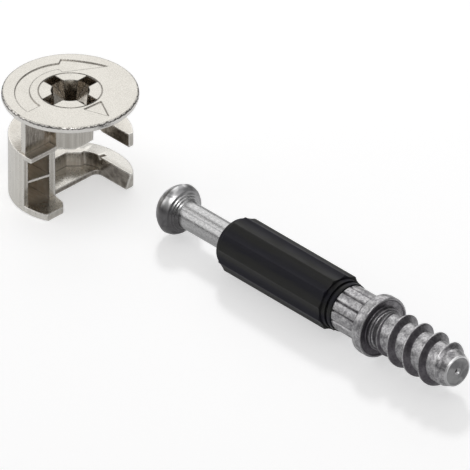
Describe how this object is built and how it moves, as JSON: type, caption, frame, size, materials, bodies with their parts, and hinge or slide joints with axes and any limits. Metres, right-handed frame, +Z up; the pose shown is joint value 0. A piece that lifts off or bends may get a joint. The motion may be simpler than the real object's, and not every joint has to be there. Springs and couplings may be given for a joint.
{
  "type": "furniture cam lock fitting",
  "caption": "Cam housing with driver socket and spiral jaws, and the sleeved connecting bolt whose head it grips to pull two furniture panels together.",
  "frame": {"origin": "on the cam's turning axis, at the surface that the set stands on", "axes": "+Z up along the cam's turning axis, out of its driver socket; +X the way the cam's mouth faces, and the way the bolt's thread points, within 1.3 degrees"},
  "size_m": [0.0725, 0.0164, 0.0141],
  "materials": {
    "nickel_plating": "satin nickel plating on a zinc die casting",
    "bare_metal": "bright bare metal with a mottled cast grain",
    "black_plastic": "semi-matte black nylon"
  },
  "bodies": {
    "bolt": {"connecting_bolt": "bare_metal", "sleeve": "black_plastic"},
    "cam": {"cam": "nickel_plating"}
  },
  "joints": [
    {"name": "cam_turn", "type": "hinge", "parent": "bolt", "child": "cam", "pos_m": [0, 0, 0], "axis": [0, 0, -1], "range_deg": [0, 190]}
  ]
}
